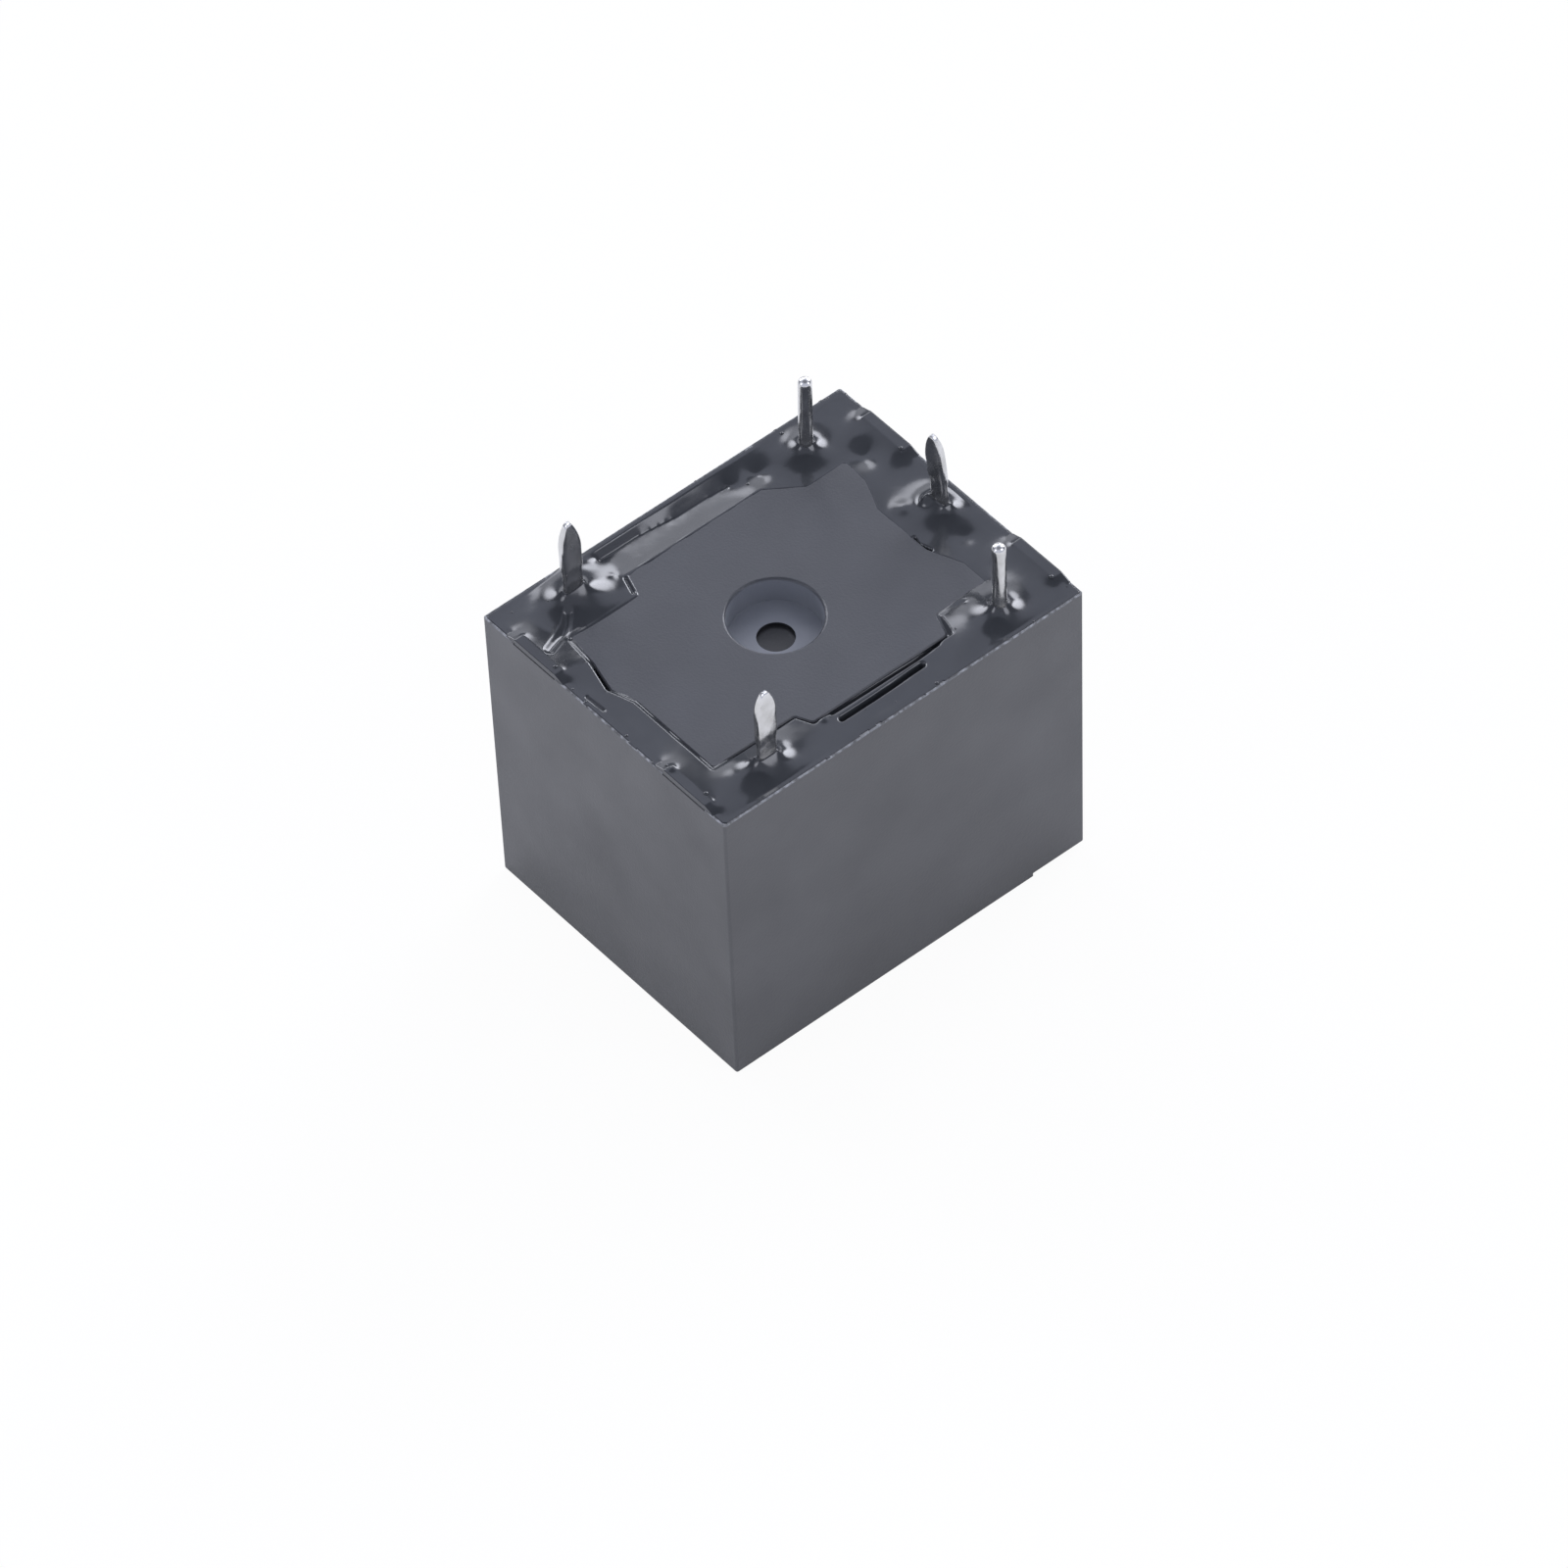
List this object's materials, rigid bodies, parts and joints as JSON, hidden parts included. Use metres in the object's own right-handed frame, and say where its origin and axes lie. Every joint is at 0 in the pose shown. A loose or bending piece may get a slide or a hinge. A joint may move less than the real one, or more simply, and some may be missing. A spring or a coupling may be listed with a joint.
{
  "type": "sealed circuit board power relay",
  "caption": "Sealed box-shaped changeover relay with coil pins and contact blades for soldering into a circuit board.",
  "frame": {"origin": "centre of the cover's closed face, which the relay rests on", "axes": "+Z out of the pin side, +X towards the coil pins and the common blade, +Y towards the blade of the contact that is closed with the coil off"},
  "size_m": [0.0188, 0.015, 0.0196],
  "materials": {
    "cover_plastic": "fine matt moulding",
    "base_plastic": "semi-matt moulding",
    "epoxy": "cured glossy, poured",
    "tinned_wire": "bright tin",
    "tinned_copper": "tin, dipped",
    "soft_iron": "nickel flash",
    "bobbin_plastic": "moulded",
    "enamelled_copper": "enamelled wire",
    "solder": "satin",
    "spring_bronze": "rolled",
    "contact_silver": "bright"
  },
  "bodies": {
    "housing": {"cover": "cover_plastic", "base": "base_plastic", "sealant": "epoxy", "coil_pin_a": "tinned_wire", "coil_pin_b": "tinned_wire", "com_terminal": "tinned_copper", "nc_terminal": "tinned_copper", "no_terminal": "tinned_copper", "core": "soft_iron", "yoke": "soft_iron", "bobbin": "bobbin_plastic", "coil_winding": "enamelled_copper", "coil_lead_a": "enamelled_copper", "coil_lead_b": "enamelled_copper", "solder_a": "solder", "solder_b": "solder", "nc_contact": "contact_silver", "no_contact": "contact_silver"},
    "armature": {"armature": "soft_iron", "moving_contact": "contact_silver", "contact_spring": "spring_bronze"}
  },
  "joints": [
    {"name": "armature_hinge", "type": "hinge", "parent": "housing", "child": "armature", "pos_m": [0.00787, 0, 0.00393], "axis": [0, 1, 0], "range_deg": [0, 2.5], "stiffness_Nm_per_rad": 0.02, "springref_deg": -4.98, "deforming": ["contact_spring"]}
  ]
}
